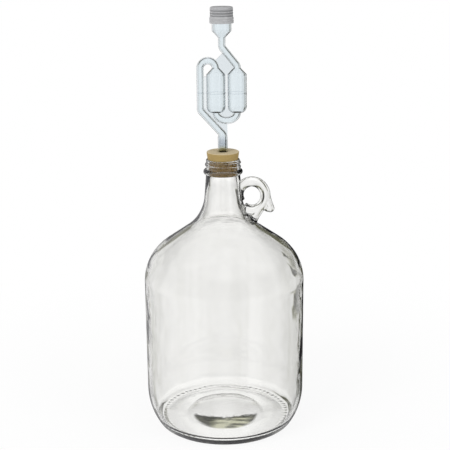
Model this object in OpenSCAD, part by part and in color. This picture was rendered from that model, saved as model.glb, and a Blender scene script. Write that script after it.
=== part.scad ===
/* [Jug body] */
// Outside diameter of the jug's straight side
jug_d = 168; // [140:1:200]
// Height from the table to the top of the straight side
side_h = 158; // [110:1:220]
// Thickness of the glass in the side, the heel and the shoulder
side_wall = 3.5; // [2.6:0.1:4.2]
// Radius of the outward curve at the top of the side
shoulder_r = 50; // [38:1:58]
// Slope of the shoulder where its two curves meet, in degrees from level
shoulder_slope = 35; // [28:1:42]

/* [Heel and base] */
// Height over which the side draws in towards the base
heel_h = 38; // [25:1:50]
// Radius of the long curve of the heel
heel_r = 65; // [50:1:90]
// Radius of the tight curve between the heel and the bearing ring
heel_corner_r = 6; // [4:0.5:10]
// Width of the flat bearing ring that the jug stands on
bearing_w = 5; // [3:0.5:10]
// Diameter of the dome pushed up in the middle of the base
dome_d = 80; // [50:1:100]
// Height of the top of the dome above the table
dome_h = 12; // [6:0.5:20]
// Height of the underside of the base just outside the dome
step_h = 3; // [1.5:0.5:5]
// Thickness of the base glass
base_t = 4; // [3:0.5:7]
// Radius of the corner inside the jug, between the base and the heel
inner_corner_r = 10; // [7:0.5:14]

/* [Neck and finish] */
// Thickness of the glass in the neck
neck_wall = 2.6; // [2:0.1:3.6]
// Bore of the mouth at the foot of its tapered seat
mouth_d = 30; // [26:0.5:36]
// Radius of the inward curve between the shoulder and the neck
neck_fillet_r = 45; // [34:1:52]
// Length of the straight neck, from that curve to the bead
neck_l = 23; // [16:1:40]
// Slope of the neck's side, in degrees from upright
neck_taper = 4.6; // [1:0.1:7]
// Thickness of the glass at the screw finish, between its threads
finish_wall = 2.4; // [2:0.1:3.5]
// Height of the lip above the middle of the bead
finish_h = 13; // [11:0.5:20]
// How far the bead stands out from the finish
bead_out = 2.9; // [1.5:0.1:4]
// Height of the bead
bead_h = 5.8; // [4:0.1:8]
// Radius of the rounded outer edge of the lip
lip_r = 1.2; // [0.6:0.1:1.6]
// Depth of the tapered seat that the stopper grips
seat_h = 6; // [4:0.5:9]

/* [Finger loop] */
// Diameter of the finger hole
loop_hole_d = 17.8; // [15:0.2:24]
// Thickness of the glass rod that the loop is formed from
loop_t = 10.6; // [8:0.2:13]
// Glass left between the finger hole and the neck
loop_root = 1.2; // [0.4:0.1:3]
// Height of the middle of the hole above the foot of the straight neck
loop_lift = 0.4; // [-4:0.5:4]
// Length of the hooked tail beyond the loop's middle line
tail_l = 15.5; // [11:0.5:20]
// Diameter of the rounded tip of the tail
tail_d = 8.8; // [6:0.2:10]
// Where the tail leaves the loop, in degrees below level
tail_angle = 15; // [5:1:30]
// Slant of the tail, in degrees from upright
tail_slant = 32; // [20:1:45]
// Where the loop comes back to the neck, in degrees below level
loop_end_angle = 100; // [92:1:106]
// Where the strut leaves the loop, in degrees below level
strut_root_angle = 68; // [55:1:78]
// Where the strut lands on the neck's inward curve, in degrees below level
strut_angle = 40; // [34:1:46]
// How much wider the strut's radius is at its foot than the loop's
strut_flare = 0.6; // [0.2:0.1:1.2]

/* [Stopper] */
// Height of the stopper
stopper_h = 25.4; // [20:0.2:32]
// How far its top stands above the lip
stopper_proud = 8; // [5:0.5:12]
// Slope of its side, in degrees from upright
stopper_taper = 7.8; // [5:0.1:9]
// Gap between the stopper and the seat in the mouth
stopper_gap = 0.1; // [0.05:0.05:0.3]
// Radius of the rounded edges of the stopper
stopper_edge_r = 0.8; // [0.4:0.1:1.5]

/* [Airlock tube] */
// Outside diameter of the stem
stem_d = 9.8; // [8:0.1:12]
// Length of the stem inside the stopper
stem_in = 22; // [15:0.5:25]
// Length of the stem above the stopper
stem_up = 15; // [10:0.5:25]
// Gap between the stem and the bore of the stopper
stem_gap = 0.05; // [0.02:0.01:0.1]
// Outside diameter of the bent tube
tube_d = 7.3; // [6.4:0.1:8.4]
// Thickness of the moulded plastic
plastic_wall = 1.2; // [0.8:0.1:1.4]
// Radius of the tube's middle line at its corners
bend_r = 4.6; // [4.4:0.1:8]
// Length of the upright tube between the stem and the first corner
stem_corner_h = 2.7; // [2.5:0.1:5]
// Length of the upright tube between the upper corner and the cup
cup_neck_h = 9.6; // [7:0.2:12]
// Thickness of the webs between the tubes and bulbs
web_t = 1.4; // [1:0.1:2]
// Where the upper web leaves the arch, in degrees above level
web_angle = 47; // [35:1:60]
// Distance from the upper corner to where the upper web meets the slanted tube
web_corner = 5; // [4:0.5:8]

/* [Airlock bulbs] */
// Outside diameter of a bulb
bulb_d = 19.2; // [16:0.2:22]
// Height of a bulb's straight side
bulb_side_h = 32.5; // [26:0.5:40]
// Slope of a bulb's shoulder and foot, in degrees from level
bulb_slope = 47; // [40:1:55]
// Gap between the two bulbs
bulb_space = 2.3; // [1.5:0.1:4]
// Gap between the first bulb and the long side tube
side_space = 2.5; // [1.6:0.1:4]
// Distance from the stem's axis to the middle of the gap between the bulbs
bulb_offset = 4.35; // [2:0.05:6]
// Height from the top of the stem to the foot of the bulbs
bulb_rise = 25; // [22:0.5:32]
// Height of the bend's centre above the foot of the bulbs that it joins
u_bend_rise = 2.6; // [1.5:0.1:3]
// Height of the side tube's lower corner above the foot of the bulbs
side_corner_rise = 2.2; // [1:0.1:4]
// How far a bulb's end, or the funnel's, stands out round the tube that enters it
root_step = 0.3; // [0.2:0.1:0.6]
// Width of the fill line moulded round each bulb
fill_line_w = 0.6; // [0.4:0.1:1]
// Height of the fill line above the foot of the bulbs
fill_line_h = 20; // [12:0.5:28]
// How far the fill line stands out
fill_line_out = 0.15; // [0.1:0.05:0.3]

/* [Airlock cup] */
// Outside diameter of the filling cup
cup_d = 19.4; // [16:0.2:22]
// Height of the cup's straight side
cup_h = 21.5; // [18:0.5:28]
// Height from the top of the bulbs' shoulders to the foot of the cup's funnel
cup_rise = 31; // [26:0.5:38]

/* [Cap] */
// Outside diameter of the cap's lower band
cap_band_d = 24.1; // [23.4:0.1:26]
// Height of the lower band
cap_band_h = 6.8; // [4:0.1:8]
// How far the upper part of the cap stands back from the band
cap_step = 0.6; // [0.3:0.1:0.9]
// Height of the whole cap
cap_h = 16.2; // [12:0.1:20]
// Thickness of the top of the cap
cap_top_t = 2.2; // [1.5:0.1:3]
// Gap between the cap's skirt and the cup
cap_gap = 0.1; // [0.05:0.05:0.2]
// Depth of the grooves round the cap
groove_depth = 0.4; // [0.2:0.1:0.6]
// Height of the lowest groove above the cap's foot
groove_foot = 3.4; // [2:0.1:4]
// Distance from one groove to the next
groove_pitch = 2.6; // [2:0.1:3]
// Number of grooves
groove_count = 4; // [2:1:4]
// Radius of the rounded top edge
cap_edge_r = 1.8; // [1:0.1:2.1]
// Diameter of a vent hole in the top
vent_d = 1.6; // [1:0.1:2]
// Number of vent holes
vent_count = 4; // [2:1:8]
// Diameter of the circle that the vent holes lie on
vent_ring_d = 10; // [8:0.5:12]

/* [Hidden] */

$fn = 72;
// How far the bead's curve wraps, in degrees above and below level
bead_wrap = 75;
// Where bars of one size would meet face to face, one is this much thicker than the other
swell = 0.15;
// How far a cut runs past the face that it opens
past = 1;

// A point at an angle on a circle in the plane of a profile
function on_circle(c, r, a) = [c[0] + r * cos(a), c[1] + r * sin(a)];

// Points along an arc from angle a0 to angle a1, from its first point or a later one
function arc(c, r, a0, a1, steps, first = 0) =
    [for (i = [first:steps]) on_circle(c, r, a0 + (a1 - a0) * i / steps)];

// Jug: the two curves of the shoulder and the slope between them
side_r = jug_d / 2;
mouth_r = mouth_d / 2;
neck_r = mouth_r + neck_wall;
neck_foot_r = neck_r + neck_l * tan(neck_taper);
shoulder_c = [side_r - shoulder_r, side_h];
fillet_x = neck_foot_r + neck_fillet_r * cos(neck_taper);
arms = shoulder_r + neck_fillet_r;
slope_run = (shoulder_c[0] + arms * sin(shoulder_slope) - fillet_x) / cos(shoulder_slope);
fillet_z = side_h + arms * cos(shoulder_slope) + slope_run * sin(shoulder_slope);
fillet_c = [fillet_x, fillet_z];
neck_foot_z = fillet_z - neck_fillet_r * sin(neck_taper);
bead_z = neck_foot_z + neck_l + bead_h / 2;
lip_z = bead_z + finish_h;
finish_r = mouth_r + finish_wall;
bead_r = finish_r + bead_out;

// Jug: the heel's long curve runs into a tight corner on the bearing ring
heel_c = [side_r - heel_r, heel_h];
corner_reach = heel_r - heel_corner_r;
corner_drop = heel_h - heel_corner_r;
corner_angle = asin(corner_drop / corner_reach);
corner_c = [heel_c[0] + corner_reach * cos(corner_angle), heel_corner_r];
floor_z = step_h + base_t;
inner_reach = heel_r - side_wall - inner_corner_r;
inner_drop = heel_h - floor_z - inner_corner_r;
inner_angle = asin(inner_drop / inner_reach);
inner_corner_c = [heel_c[0] + inner_reach * cos(inner_angle), floor_z + inner_corner_r];
dome_r = dome_d / 2;
dome_rise = dome_h - step_h;
dome_arc_r = (dome_r * dome_r + dome_rise * dome_rise) / (2 * dome_rise);
dome_arc_angle = asin(dome_r / dome_arc_r);
dome_c = [0, dome_h - dome_arc_r];
inner_dome_angle = acos((floor_z - dome_c[1]) / (dome_arc_r + base_t));

// Stopper: its radius at any height, from the seat that it grips
seat_foot_z = lip_z - seat_h;
stopper_top_z = lip_z + stopper_proud;
stopper_foot_z = stopper_top_z - stopper_h;
function seat_r(z) = mouth_r + (z - seat_foot_z) * tan(stopper_taper);
function stopper_r(z) = seat_r(z) - stopper_gap;

// Finger loop: its middle line, the tail and the strut
loop_rod_r = loop_t / 2;
loop_r = loop_hole_d / 2 + loop_rod_r;
loop_c = [neck_foot_r + loop_root + loop_hole_d / 2, neck_foot_z + loop_lift];
loop_end = on_circle(loop_c, loop_r, -loop_end_angle);
tail_root = on_circle(loop_c, loop_r, -tail_angle);
tail_tip = on_circle(tail_root, tail_l - tail_d / 2, tail_slant - 90);
strut_root = on_circle(loop_c, loop_r, -strut_root_angle);
strut_foot = on_circle(fillet_c, neck_fillet_r + neck_wall / 2, 180 + strut_angle);

// Airlock: how far a straight tube enters a bulb or the cup, and how much thinner it is drawn
// than the bends that it laps into
tube_entry = 1.5;
lap_step = 0.06;
lap = 0.4;

// Airlock: the middle lines of its tubes, from the stem up to the cup
tube_r = tube_d / 2;
bulb_r = bulb_d / 2;
stem_foot_z = stopper_top_z - stem_in;
stem_top_z = stopper_top_z + stem_up;
bulb_foot_z = stem_top_z + bulb_rise;
root_r = tube_r + root_step;
bulb_end_h = (bulb_r - root_r) * tan(bulb_slope);
bulb_top_z = bulb_foot_z + bulb_side_h + 2 * bulb_end_h;
bulb_gap_x = bulb_offset;
first_bulb_x = bulb_gap_x - bulb_space / 2 - bulb_r;
second_bulb_x = bulb_gap_x + bulb_space / 2 + bulb_r;
side_tube_x = first_bulb_x - bulb_r - side_space - tube_r;
arch_r = (first_bulb_x - side_tube_x) / 2;
arch_c = [(first_bulb_x + side_tube_x) / 2, bulb_top_z];
u_bend_r = (second_bulb_x - first_bulb_x) / 2;
u_bend_c = [bulb_gap_x, bulb_foot_z + u_bend_rise];
lower_corner_z = bulb_foot_z + side_corner_rise;
cup_foot_z = bulb_top_z + cup_rise;
cup_end_h = (cup_d / 2 - root_r) * tan(bulb_slope);
cup_top_z = cup_foot_z + cup_end_h + cup_h;
upper_corner_z = cup_foot_z - cup_neck_h;
lower_path = [
    [0, stem_top_z - 2 * tube_entry],
    [0, stem_top_z + stem_corner_h],
    [side_tube_x, lower_corner_z],
    [side_tube_x, bulb_top_z + lap]
];
upper_path = [
    [second_bulb_x, bulb_top_z - tube_entry],
    [second_bulb_x, bulb_top_z + tube_entry + past],
    [0, upper_corner_z],
    [0, cup_foot_z + tube_entry]
];

// Cap
cap_foot_z = cup_top_z + cap_gap + cap_top_t - cap_h;
cap_top_z = cap_foot_z + cap_h;
cap_upper_r = cap_band_d / 2 - cap_step;
cap_bore_r = cup_d / 2 + cap_gap;
function groove_z(i) = cap_foot_z + groove_foot + groove_pitch * i;

// Outline of the outside of the jug, from the middle of the base to the middle of the mouth
function jug_outside() = concat(
    arc(dome_c, dome_arc_r, 90, 90 - dome_arc_angle, 8),
    [[corner_c[0] - bearing_w, 0]],
    arc(corner_c, heel_corner_r, -90, -corner_angle, 6),
    arc(heel_c, heel_r, -corner_angle, 0, 8, 1),
    arc(shoulder_c, shoulder_r, 0, 90 - shoulder_slope, 14),
    arc(fillet_c, neck_fillet_r, 270 - shoulder_slope, 180 + neck_taper, 12),
    [[neck_r, bead_z - bead_h / 2]],
    arc([bead_r - bead_h / 2, bead_z], bead_h / 2, -bead_wrap, bead_wrap, 8),
    [[finish_r, bead_z + bead_h / 2]],
    arc([finish_r - lip_r, lip_z - lip_r], lip_r, 0, 90, 4),
    [[0, lip_z]]
);

// Outline of the space inside the jug, open past the lip
function jug_inside() = concat(
    arc(dome_c, dome_arc_r + base_t, 90, 90 - inner_dome_angle, 8),
    arc(inner_corner_c, inner_corner_r, -90, -inner_angle, 6),
    arc(heel_c, heel_r - side_wall, -inner_angle, 0, 8, 1),
    arc(shoulder_c, shoulder_r - side_wall, 0, 90 - shoulder_slope, 14),
    arc(fillet_c, neck_fillet_r + neck_wall, 270 - shoulder_slope, 180 + neck_taper, 12),
    [[mouth_r, bead_z - bead_h / 2], [mouth_r, seat_foot_z]],
    [[seat_r(lip_z), lip_z], [seat_r(lip_z), lip_z + past], [0, lip_z + past]]
);

// A round bar between two points of the mid plane, tapering if its radii differ
module bar(a, b, r1, r2) {
    run = b - a;
    length = norm(run);
    translate([a[0], 0, a[1]])
        rotate([0, atan2(run[0], run[1]), 0])
            cylinder(r1 = r1, r2 = r2, h = length);
}

// A bend of round bar in the mid plane
module bend(c, middle_r, r, a0, sweep) {
    translate([c[0], 0, c[1]])
        rotate([90, 0, 0])
            rotate([0, 0, a0])
                rotate_extrude(angle = sweep)
                    translate([middle_r, 0])
                        circle(r = r);
}

// A ball in the mid plane
module ball(c, r) {
    translate([c[0], 0, c[1]])
        sphere(r = r);
}

function unit(v) = v / norm(v);
function turn(p, i) =
    let (u = unit(p[i] - p[i - 1]), w = unit(p[i + 1] - p[i]))
        atan2(u[0] * w[1] - u[1] * w[0], u * w);
function trim(p, i) = bend_r * tan(abs(turn(p, i)) / 2);

// A round bar along straight lines in the mid plane, with a bend at each corner
module bent_bar(p, r) {
    last = len(p) - 1;
    for (i = [0:last - 1]) {
        u = unit(p[i + 1] - p[i]);
        from = i == 0 ? p[0] : p[i] + u * (trim(p, i) - lap);
        to = i == last - 1 ? p[last] : p[i + 1] - u * (trim(p, i + 1) - lap);
        bar(from, to, r - lap_step, r - lap_step);
    }
    for (i = [1:last - 1]) {
        u = unit(p[i] - p[i - 1]);
        t = turn(p, i);
        side = sign(t);
        start = p[i] - u * trim(p, i);
        c = start + side * bend_r * [-u[1], u[0]];
        a = atan2(start[1] - c[1], start[0] - c[0]);
        bend(c, bend_r, r, side > 0 ? a : a + t, abs(t));
    }
}

module finger_loop() {
    bend(loop_c, loop_r, loop_rod_r, -loop_end_angle, 180 + loop_end_angle);
    ball(loop_end, loop_rod_r + swell);
    bar(strut_root, strut_foot, loop_rod_r - 3 * swell, loop_rod_r + strut_flare);
    bar(tail_root, tail_tip, loop_rod_r - 2 * swell, tail_d / 2 - swell);
    ball(tail_tip, tail_d / 2);
}

module glass_jug() {
    color([0.88, 0.91, 0.88, 0.5])
        difference() {
            union() {
                rotate_extrude()
                    polygon(jug_outside());
                finger_loop();
            }
            rotate_extrude()
                polygon(jug_inside());
        }
}

module rubber_stopper() {
    foot_r = stopper_r(stopper_foot_z);
    top_r = stopper_r(stopper_top_z);
    bore_r = stem_d / 2 + stem_gap;
    color([0.74, 0.67, 0.51])
        rotate_extrude()
            polygon(concat(
                [[bore_r, stopper_foot_z]],
                arc([foot_r - stopper_edge_r, stopper_foot_z + stopper_edge_r], stopper_edge_r,
                    -90, -stopper_taper, 4),
                arc([top_r - stopper_edge_r, stopper_top_z - stopper_edge_r], stopper_edge_r,
                    -stopper_taper, 90, 4),
                [[bore_r, stopper_top_z]]
            ));
}

// A half profile that widens from a tube at a slope, drawn in by the wall
function root_end(z, side, inset, up) = [
    [root_r - inset, z + up * inset * (1 / cos(bulb_slope) - tan(bulb_slope))],
    [side - inset, z + up * ((side - inset - root_r) * tan(bulb_slope) + inset / cos(bulb_slope))]
];

// One bulb, at its full size or drawn in by the wall: a side with a cone at each end
module bulb(x, inset) {
    foot = root_end(bulb_foot_z, bulb_r, inset, 1);
    top = root_end(bulb_top_z, bulb_r, inset, -1);
    translate([x, 0, 0])
        rotate_extrude()
            polygon([[0, foot[0][1]], foot[0], foot[1], top[1], top[0], [0, top[0][1]]]);
}

// Everything of the airlock that is round, at its full size or drawn in by the wall
module airlock_rounds(inset) {
    r = tube_r - inset;
    bent_bar(lower_path, r);
    bend(arch_c, arch_r, r, 0, 180);
    bar(
        [first_bulb_x, bulb_top_z - tube_entry],
        [first_bulb_x, bulb_top_z + lap],
        r - lap_step,
        r - lap_step
    );
    bulb(first_bulb_x, inset);
    bend(u_bend_c, u_bend_r, r, 180, 180);
    bulb(second_bulb_x, inset);
    bent_bar(upper_path, r);
}

module webs() {
    shoulder_z = bulb_top_z - bulb_end_h;
    foot_z = bulb_foot_z + bulb_end_h;
    arch_corner = on_circle(arch_c, arch_r + tube_r / 2, web_angle);
    slant_corner = upper_path[2] + web_corner * unit(upper_path[1] - upper_path[2]);
    translate([0, web_t / 2, 0])
        rotate([90, 0, 0])
            linear_extrude(height = web_t) {
                // Between the first bulb, the second bulb and the upper slanted tube
                polygon([
                    [first_bulb_x, bulb_top_z - tube_entry],
                    arch_corner,
                    slant_corner,
                    [second_bulb_x, bulb_top_z],
                    [second_bulb_x, foot_z],
                    [first_bulb_x, foot_z]
                ]);
                // Inside the bend under the bulbs
                translate(u_bend_c)
                    intersection() {
                        circle(r = u_bend_r);
                        translate([-u_bend_r, -u_bend_r])
                            square([2 * u_bend_r, u_bend_r + bulb_end_h]);
                    }
                // Between the side tube and the first bulb
                translate([side_tube_x, lower_corner_z])
                    square([first_bulb_x - side_tube_x, shoulder_z - lower_corner_z]);
                // Under the bulbs, down to the stem
                polygon([
                    [side_tube_x, lower_corner_z],
                    [0, stem_top_z],
                    [stem_d / 2, stem_top_z],
                    [stem_d / 2, bulb_foot_z - u_bend_r],
                    [first_bulb_x, bulb_foot_z],
                    [first_bulb_x, foot_z]
                ]);
            }
}

// A raised line round a bulb
module fill_line(x) {
    translate([x, 0, bulb_foot_z + fill_line_h])
        rotate_extrude()
            translate([bulb_r - plastic_wall / 2, -fill_line_w / 2])
                square([plastic_wall / 2 + fill_line_out, fill_line_w]);
}

module airlock_body() {
    stem_r = stem_d / 2;
    cup_r = cup_d / 2;
    funnel = root_end(cup_foot_z, cup_r, 0, 1);
    funnel_bore = root_end(cup_foot_z, cup_r, plastic_wall, 1);
    color([0.82, 0.87, 0.9, 0.6])
        difference() {
            union() {
                translate([0, 0, stem_foot_z])
                    cylinder(r = stem_r, h = stem_top_z - stem_foot_z);
                ball([0, stem_top_z], stem_r - swell);
                airlock_rounds(0);
                webs();
                fill_line(first_bulb_x);
                fill_line(second_bulb_x);
                rotate_extrude()
                    polygon([
                        [0, cup_foot_z],
                        funnel[0],
                        funnel[1],
                        [cup_r, cup_top_z],
                        [0, cup_top_z]
                    ]);
            }
            airlock_rounds(plastic_wall);
            translate([0, 0, stem_foot_z - past])
                cylinder(r = stem_r - plastic_wall, h = stem_in + stem_up - past);
            rotate_extrude()
                polygon([
                    [0, funnel_bore[0][1]],
                    funnel_bore[0],
                    funnel_bore[1],
                    [cup_r - plastic_wall, cup_top_z + past],
                    [0, cup_top_z + past]
                ]);
        }
}

// The ring that cuts one groove, in the band or in the upper part
module groove(i) {
    r = groove_z(i) > cap_foot_z + cap_band_h ? cap_upper_r : cap_band_d / 2;
    translate([0, 0, groove_z(i)])
        rotate_extrude()
            translate([r, 0])
                rotate(45)
                    square(groove_depth * sqrt(2), center = true);
}

module airlock_cap() {
    band_r = cap_band_d / 2;
    color([0.66, 0.66, 0.67])
        difference() {
            rotate_extrude()
                polygon(concat(
                    [[0, cap_foot_z], [band_r, cap_foot_z], [band_r, cap_foot_z + cap_band_h]],
                    [[cap_upper_r, cap_foot_z + cap_band_h + cap_step]],
                    arc([cap_upper_r - cap_edge_r, cap_top_z - cap_edge_r], cap_edge_r, 0, 90, 5),
                    [[0, cap_top_z]]
                ));
            translate([0, 0, cap_foot_z - past])
                cylinder(r = cap_bore_r, h = cap_h - cap_top_t + past);
            for (i = [0:groove_count - 1])
                groove(i);
            for (i = [0:vent_count - 1])
                rotate([0, 0, (i + 0.5) * 360 / vent_count])
                    translate([vent_ring_d / 2, 0, cap_top_z - cap_top_t - past])
                        cylinder(d = vent_d, h = cap_top_t + 2 * past);
        }
}

glass_jug();
rubber_stopper();
airlock_body();
airlock_cap();
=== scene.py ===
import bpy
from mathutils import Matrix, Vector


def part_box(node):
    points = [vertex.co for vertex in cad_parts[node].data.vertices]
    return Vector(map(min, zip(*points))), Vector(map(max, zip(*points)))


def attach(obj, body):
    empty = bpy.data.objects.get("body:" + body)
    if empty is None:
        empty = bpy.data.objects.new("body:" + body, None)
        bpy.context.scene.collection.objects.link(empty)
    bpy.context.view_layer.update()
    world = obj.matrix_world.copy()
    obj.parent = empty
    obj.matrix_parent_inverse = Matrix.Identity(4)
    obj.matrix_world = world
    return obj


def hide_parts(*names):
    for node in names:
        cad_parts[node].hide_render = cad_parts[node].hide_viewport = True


bl_info = {
    "name": "Fermentation jar with airlock",
    "version": (1, 0, 0),
    "blender": (4, 5, 0),
    "location": "3D View > Sidebar > Fermenter",
    "description": "Clear glass jug, drilled rubber stopper and twin-bulb airlock, built on a packed frame",
    "category": "Object",
}

from math import acos, asin, atan2, cos, degrees, pi, radians, sin, sqrt, tan

import bmesh
import bpy
from bpy.props import FloatProperty, FloatVectorProperty, IntProperty, PointerProperty
from bpy.types import Operator, Panel, PropertyGroup
from mathutils import Matrix, Vector

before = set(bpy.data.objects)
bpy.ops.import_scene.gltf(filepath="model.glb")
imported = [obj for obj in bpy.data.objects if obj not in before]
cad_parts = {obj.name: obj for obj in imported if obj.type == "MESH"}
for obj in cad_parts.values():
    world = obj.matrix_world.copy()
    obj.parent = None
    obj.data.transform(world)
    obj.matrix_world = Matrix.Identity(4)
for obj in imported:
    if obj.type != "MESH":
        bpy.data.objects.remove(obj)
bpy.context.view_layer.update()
STOPPER_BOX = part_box("rubber_stopper")
AIRLOCK_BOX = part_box("airlock_body")
CAP_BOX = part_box("airlock_cap")
FIRST_GROOVE = 0.0034  # height of the lowest groove on the cap
GROOVE_SPACING = 0.0026
TINY = 1e-7  # points closer than this are one


# Sizes and colours


def length(label, text, default):
    """A size in metres that shows in the sidebar."""
    return FloatProperty(
        name=label, description=text, default=default, unit="LENGTH", subtype="DISTANCE", precision=4
    )


def number(label, text, default):
    """A whole number that shows in the sidebar."""
    return IntProperty(name=label, description=text, default=default)


def tilt(label, text, default):
    """An angle, given in degrees, that shows in the sidebar."""
    return FloatProperty(
        name=label, description=text, default=radians(default), unit="ROTATION", subtype="ANGLE"
    )


def colour(label, text, default):
    """A colour that shows in the sidebar."""
    return FloatVectorProperty(
        name=label, description=text, default=default, size=3, subtype="COLOR", min=0.0, max=1.0
    )


class JugSettings(PropertyGroup):
    """Sizes and colours of the glass jug"""

    side_radius: length("Side radius", "Outside radius of the straight side", 0.084)
    side_height: length("Side height", "Height of the top of the straight side", 0.158)
    side_wall: length("Side wall", "Thickness of the glass in the side and shoulder", 0.0035)
    neck_wall: length("Neck wall", "Thickness of the glass in the neck", 0.0026)
    shoulder_extra: length("Shoulder extra", "How much thicker the glass is in the shoulder", 0.0018)
    shoulder_radius: length("Shoulder radius", "Radius of the outward curve of the shoulder", 0.05)
    fillet_radius: length("Neck curve radius", "Radius of the inward curve below the neck", 0.045)
    neck_length: length("Neck length", "Straight neck between its curve and the bead", 0.023)
    mouth_radius: length("Mouth radius", "Bore of the mouth", 0.015)
    finish_height: length("Finish height", "Height of the lip above the middle of the bead", 0.013)
    thread_pitch: length("Thread pitch", "Rise of the thread in one turn", 0.00423)
    thread_height: length("Thread height", "How far the thread stands out", 0.00115)
    thread_turns: FloatProperty(name="Thread turns", description="Turns that the thread makes", default=1.35)
    rod_radius: length("Loop rod radius", "Radius of the glass rod of the finger loop", 0.0053)
    loop_radius: length("Loop radius", "Radius of the middle line of the finger loop", 0.0142)
    ridges: number("Bearing ridges", "Number of ridges round the bearing ring", 66)
    ridge_height: length("Ridge height", "Height of the ridges under the base", 0.0005)
    glass: colour("Glass", "Tint of light that passes through a wall", (0.955, 0.953, 0.946))
    # The edge tint is partly the longer path through the glass seen along its surface and partly painted
    # shade for dark surroundings
    edge: colour("Edge", "Tint of the glass seen along its surface", (0.60, 0.60, 0.56))
    # Painted shade: the outline tint stands in for dark surroundings seen in the heel, finish and loop
    outline: colour("Outline", "Tint of the outlines of the heel, finish and loop", (0.04, 0.04, 0.034))
    depth_tint: colour("Depth tint", "Tint that builds up where the glass is thick", (0.56, 0.58, 0.46))


class StopperSettings(PropertyGroup):
    """Sizes and colours of the rubber stopper"""

    top_radius: length("Top radius", "Radius at the top face", 0.01682)
    foot_radius: length("Foot radius", "Radius at the lower face", 0.01334)
    bore_radius: length("Bore radius", "Radius of the bore for the airlock", 0.00495)
    edge_radius: length("Edge radius", "Rounding of the edges", 0.0009)
    rubber: colour("Rubber", "Colour of the gum rubber", (0.61, 0.51, 0.33))
    # The side below the top face is given this darker colour
    side: colour("Side", "Colour of the dulled side", (0.375, 0.265, 0.098))
    # The part inside the neck is given this darker, more orange colour
    deeper: colour("Damp", "Colour of the damp rubber inside the neck", (0.46, 0.27, 0.055))
    speck: colour("Specks", "Colour of the darker specks in the rubber", (0.40, 0.31, 0.18))


class AirlockSettings(PropertyGroup):
    """Sizes and colours of the airlock"""

    stem_radius: length("Stem radius", "Outside radius of the stem", 0.0049)
    tube_radius: length("Tube radius", "Outside radius of the bent tube", 0.00365)
    bulb_radius: length("Bulb radius", "Outside radius of a bulb", 0.0096)
    cup_radius: length("Cup radius", "Outside radius of the filling cup", 0.0097)
    wall: length("Wall", "Thickness of the moulded plastic", 0.0012)
    bend_radius: length("Bend radius", "Radius of the tube's corners", 0.0046)
    web: length("Web", "Thickness of the webs between the tubes", 0.0014)
    corner_radius: length("Bulb corner radius", "Rounding of a bulb's shoulder", 0.0016)
    fill_line: length("Fill line", "How far the fill line stands out", 0.00010)
    plastic: colour("Plastic", "Tint of the clear plastic", (0.88, 0.92, 0.94))
    stem: colour("Stem", "Tint of the thicker plastic of the stem", (0.66, 0.70, 0.74))
    # Painted reflection: the foot tint stands in for the rubber seen through the stem
    foot: colour("Stem foot", "Tint of the stem inside the stopper", (0.63, 0.62, 0.45))
    # Painted shade: the edge tint darkens the plastic's outlines, standing in for dark surroundings seen
    # through it
    edge: colour("Edge", "Tint of the plastic seen along its surface", (0.22, 0.25, 0.28))
    sheet: colour("Web plastic", "Tint of the flat webs", (0.76, 0.81, 0.84))
    depth_tint: colour("Depth tint", "Tint that builds up where the plastic is thick", (0.55, 0.62, 0.70))


class CapSettings(PropertyGroup):
    """Sizes and colours of the airlock's cap"""

    band_radius: length("Band radius", "Radius of the lower band", 0.01205)
    band_height: length("Band height", "Height of the lower band", 0.0068)
    step: length("Step", "How far the upper part stands back from the band", 0.0006)
    bore_radius: length("Bore radius", "Inside radius of the skirt", 0.0098)
    top: length("Top", "Thickness of the top", 0.0022)
    groove: length("Groove depth", "Depth of the grooves round the cap", 0.00045)
    vents: number("Vents", "Number of vent holes in the top", 4)
    vent_radius: length("Vent radius", "Radius of a vent hole", 0.0008)
    vent_ring: length("Vent ring", "Radius of the circle that the vents lie on", 0.005)
    plastic: colour("Plastic", "Colour of the milky grey plastic", (0.255, 0.257, 0.265))
    # Painted light: this paler colour stands in for light through the band, light lines on the grooves and
    # light on the top
    painted_light: colour("Thin plastic", "Colour where the plastic is thin", (0.56, 0.562, 0.57))


class StageSettings(PropertyGroup):
    """Camera and floor of the stage"""

    camera_height: length("Camera height", "Height of the lens above the table", 0.516)
    camera_distance: length("Camera distance", "Distance from the lens to the jug's axis", 1.045)
    camera_pitch: tilt("Camera pitch", "Downward tilt", 15.95)
    camera_roll: tilt("Camera roll", "Turn about the line of sight", -0.6)
    lens: FloatProperty(
        name="Lens", description="Focal length for a 36 mm wide sensor", default=83.12, unit="CAMERA"
    )
    floor_size: length("Floor size", "Length of the floor's side", 12.0)
    floor: colour("Floor", "Colour of the floor", (0.95, 0.95, 0.95))


# Profiles and meshes


def spot(centre, radius, angle, height=None):
    """The point at an angle on a circle, or on an ellipse of a given height."""
    return (centre[0] + radius * cos(angle), centre[1] + (height or radius) * sin(angle))


def arc(centre, radius, start, end, steps, height=None):
    """Points along an arc between two angles in degrees."""
    angles = [radians(start + (end - start) * i / steps) for i in range(steps + 1)]
    return [spot(centre, radius, angle, height) for angle in angles]


def between(a, b, share):
    """The point at a share of the way from a to b."""
    return (a[0] + (b[0] - a[0]) * share, a[1] + (b[1] - a[1]) * share)


def angle_between(a, b):
    """The angle between two unit vectors."""
    return acos(max(-1, min(1, a.dot(b))))


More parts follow.
